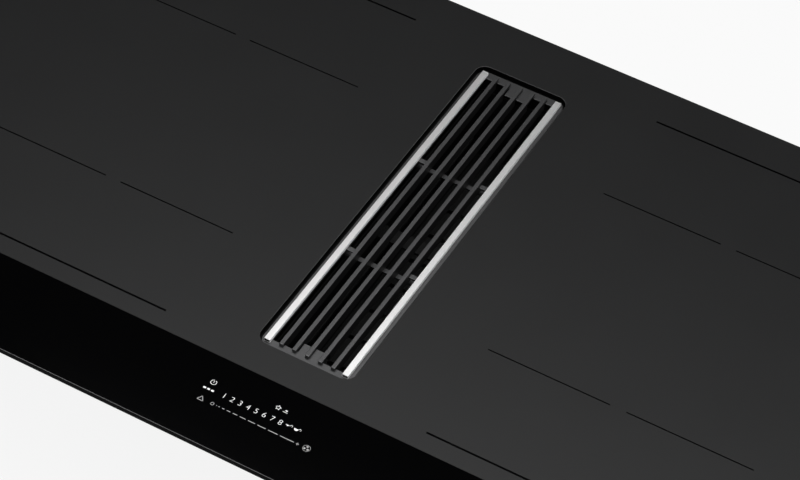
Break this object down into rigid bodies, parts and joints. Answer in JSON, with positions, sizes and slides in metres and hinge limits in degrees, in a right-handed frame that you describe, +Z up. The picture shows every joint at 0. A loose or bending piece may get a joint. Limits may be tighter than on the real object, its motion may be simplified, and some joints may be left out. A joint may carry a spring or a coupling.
{
  "type": "downdraft induction cooktop",
  "caption": "Drop-in induction cooktop of black glass-ceramic with a lift-out grille, grease filter and blower for a central downdraft extractor.",
  "frame": {"origin": "centre of the glass outline, in the worktop plane that the sealing tape rests on", "axes": "+X to the user's right, +Y to the back, +Z up"},
  "size_m": [0.83, 0.515, 0.211],
  "materials": {
    "ceramic_glass": "satin black glass-ceramic with ground edges, gloss black control band",
    "foam_tape": "closed-cell foam tape",
    "black_steel": "matt black powder coat",
    "zinc_steel": "galvanised sheet steel",
    "copper_winding": "enamelled copper litz",
    "white_plastic": "moulded glass-filled plastic",
    "aluminium_sheet": "rolled aluminium",
    "ferrite": "sintered ferrite",
    "circuit_board": "green glass-epoxy board",
    "black_plastic": "moulded black plastic",
    "motor_metal": "zinc-plated steel",
    "grey_rubber": "silicone rubber",
    "steel_screw": "zinc-plated steel",
    "grey_plastic": "moulded grey plastic",
    "stainless_sheet": "stainless sheet, fine grain",
    "filter_mesh": "layered expanded aluminium mesh",
    "grille_coating": "anthracite satin enamel",
    "bright_steel": "brushed stainless tube"
  },
  "bodies": {
    "housing": {"glass_top": "ceramic_glass", "sealing_tape": "foam_tape", "well_collar": "black_steel", "well_duct": "black_steel", "induction_case": "zinc_steel", "coil_rear_left": "copper_winding", "coil_front_left": "copper_winding", "coil_rear_right": "copper_winding", "coil_front_right": "copper_winding", "coil_formers_left": "white_plastic", "coil_formers_right": "white_plastic", "coil_carrier_left": "aluminium_sheet", "coil_carrier_right": "aluminium_sheet", "ferrite_bars": "ferrite", "pan_sensors": "white_plastic", "power_board_left": "circuit_board", "power_board_right": "circuit_board", "heat_sink_left": "aluminium_sheet", "heat_sink_right": "aluminium_sheet", "cooling_fan_left": "black_plastic", "cooling_fan_right": "black_plastic", "touch_board": "circuit_board", "blower_box": "black_steel", "blower_cover": "black_steel", "scroll_housing": "black_plastic", "scroll_lid": "black_plastic", "motor_stator": "motor_metal", "motor_dampers": "grey_rubber", "outlet_spigot": "black_plastic", "terminal_box": "grey_plastic", "terminal_block": "white_plastic", "cable_gland": "black_plastic", "case_screws": "steel_screw"},
    "drip_tray": {"drip_tray": "stainless_sheet"},
    "grease_filter": {"filter_frame": "black_steel", "filter_mesh_left": "filter_mesh", "filter_mesh_right": "filter_mesh", "filter_grip": "black_steel"},
    "grille": {"grille_plate": "grille_coating", "grille_blade_1": "grille_coating", "grille_blade_2": "grille_coating", "grille_blade_3": "grille_coating", "grille_blade_4": "grille_coating", "grille_blade_5": "grille_coating", "grille_tube_left": "bright_steel", "grille_tube_right": "bright_steel", "grille_crossbar_front": "grille_coating", "grille_crossbar_rear": "grille_coating", "grille_feet": "grey_rubber"},
    "blower_wheel": {"impeller": "black_plastic", "motor_shaft": "steel_screw"},
    "fan_rotor_left": {"fan_rotor_left": "black_plastic"},
    "fan_rotor_right": {"fan_rotor_right": "black_plastic"},
    "flap_upper": {"flap_upper": "white_plastic"},
    "flap_lower": {"flap_lower": "white_plastic"},
    "terminal_lid": {"terminal_lid": "grey_plastic"},
    "clamp_1": {"worktop_clamp_1": "zinc_steel"},
    "clamp_2": {"worktop_clamp_2": "zinc_steel"},
    "clamp_3": {"worktop_clamp_3": "zinc_steel"},
    "clamp_4": {"worktop_clamp_4": "zinc_steel"}
  },
  "joints": [
    {"name": "drip_tray_lift", "type": "slide", "parent": "housing", "child": "drip_tray", "axis": [0, 0, 1], "range_m": [0, 0.12]},
    {"name": "filter_lift", "type": "slide", "parent": "drip_tray", "child": "grease_filter", "axis": [0, 0, 1], "range_m": [0, 0.11]},
    {"name": "grille_lift", "type": "slide", "parent": "grease_filter", "child": "grille", "axis": [0, 0, 1], "range_m": [0, 0.05]},
    {"name": "impeller_spin", "type": "hinge", "parent": "housing", "child": "blower_wheel", "pos_m": [-0.03, 0.045, -0.165], "axis": [0, 0, 1], "continuous": true},
    {"name": "fan_left_spin", "type": "hinge", "parent": "housing", "child": "fan_rotor_left", "pos_m": [-0.231, 0.162, -0.036], "axis": [0, 0, 1], "continuous": true},
    {"name": "fan_right_spin", "type": "hinge", "parent": "housing", "child": "fan_rotor_right", "pos_m": [0.231, 0.162, -0.036], "axis": [0, 0, 1], "continuous": true},
    {"name": "flap_upper_swing", "type": "hinge", "parent": "housing", "child": "flap_upper", "pos_m": [0, 0.213, -0.159], "axis": [-1, 0, 0], "range_deg": [0, 80], "stiffness_Nm_per_rad": 0.004, "springref_deg": -40.11},
    {"name": "flap_lower_swing", "type": "hinge", "parent": "housing", "child": "flap_lower", "pos_m": [0, 0.213, -0.164], "axis": [1, 0, 0], "range_deg": [0, 80], "stiffness_Nm_per_rad": 0.004, "springref_deg": -17.19},
    {"name": "terminal_lid_swing", "type": "hinge", "parent": "housing", "child": "terminal_lid", "pos_m": [0.325, 0.2297, -0.0545], "axis": [1, 0, 0], "range_deg": [0, 90]},
    {"name": "clamp_1_swing", "type": "hinge", "parent": "housing", "child": "clamp_1", "pos_m": [-0.378, 0.11, -0.052], "axis": [0, 0, -1], "range_deg": [0, 90]},
    {"name": "clamp_2_swing", "type": "hinge", "parent": "housing", "child": "clamp_2", "pos_m": [0.378, 0.11, -0.052], "axis": [0, 0, 1], "range_deg": [0, 90]},
    {"name": "clamp_3_swing", "type": "hinge", "parent": "housing", "child": "clamp_3", "pos_m": [-0.378, -0.135, -0.052], "axis": [0, 0, 1], "range_deg": [0, 90]},
    {"name": "clamp_4_swing", "type": "hinge", "parent": "housing", "child": "clamp_4", "pos_m": [0.378, -0.135, -0.052], "axis": [0, 0, -1], "range_deg": [0, 90]}
  ]
}
